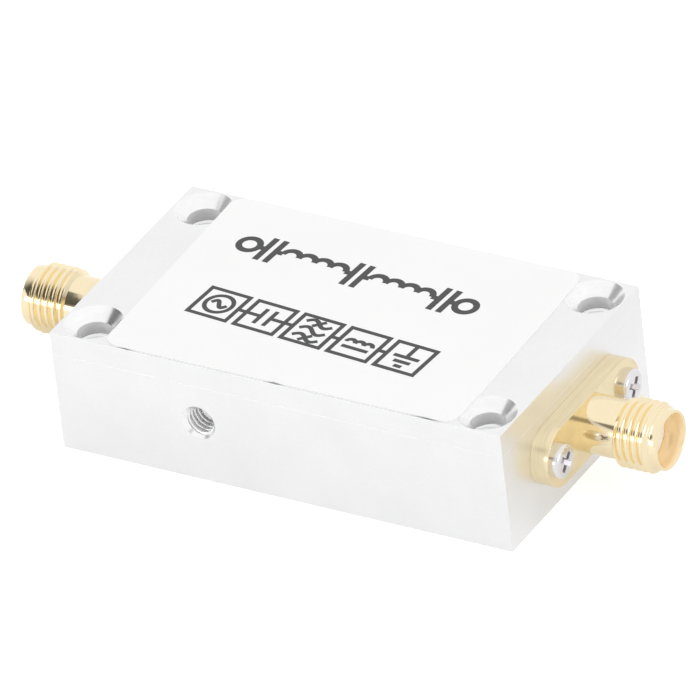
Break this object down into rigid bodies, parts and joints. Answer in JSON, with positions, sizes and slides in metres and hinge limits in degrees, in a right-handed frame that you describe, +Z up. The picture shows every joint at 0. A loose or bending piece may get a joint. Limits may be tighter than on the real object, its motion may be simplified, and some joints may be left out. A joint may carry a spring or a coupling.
{
  "type": "bandpass filter module",
  "caption": "Small milled aluminium box with a flat lid, a printed label and a flanged threaded coaxial connector at each end, holding a filter board.",
  "frame": {"origin": "middle of the box's flat underside", "axes": "+X from the left connector to the right connector, along both connectors' axis; +Z up out of the lid; -Y out of the long face with the tapped hole"},
  "size_m": [0.0638, 0.025, 0.0121],
  "materials": {
    "housing_aluminium": "fine blasted, satin",
    "lid_aluminium": "fine blasted, satin",
    "label": null,
    "gold_shell": "polished gold plating on turned brass",
    "gold_contact": "gold plating",
    "insulator": "white fluoropolymer, waxy",
    "flange_screws": "bright nickel plating",
    "board_screws": "zinc plating",
    "board": "glass-fibre laminate with solder mask and tinned copper",
    "coils": "enamelled copper wire",
    "capacitors": "matt ceramic with tinned ends"
  },
  "bodies": {
    "root": {"housing": "housing_aluminium", "lid": "lid_aluminium", "label": "label", "left_connector_shell": "gold_shell", "right_connector_shell": "gold_shell", "left_connector_insulator": "insulator", "right_connector_insulator": "insulator", "left_connector_contact": "gold_contact", "right_connector_contact": "gold_contact", "left_flange_screw_front": "flange_screws", "left_flange_screw_rear": "flange_screws", "right_flange_screw_front": "flange_screws", "right_flange_screw_rear": "flange_screws", "circuit_board": "board", "board_screw_1": "board_screws", "board_screw_2": "board_screws", "board_screw_3": "board_screws", "board_screw_4": "board_screws", "coil_1": "coils", "coil_2": "coils", "coil_3": "coils", "shunt_capacitor_1": "capacitors", "shunt_capacitor_2": "capacitors", "shunt_capacitor_3": "capacitors", "coupling_capacitor_1": "capacitors", "coupling_capacitor_2": "capacitors", "coupling_capacitor_3": "capacitors", "coupling_capacitor_4": "capacitors"}
  },
  "joints": []
}
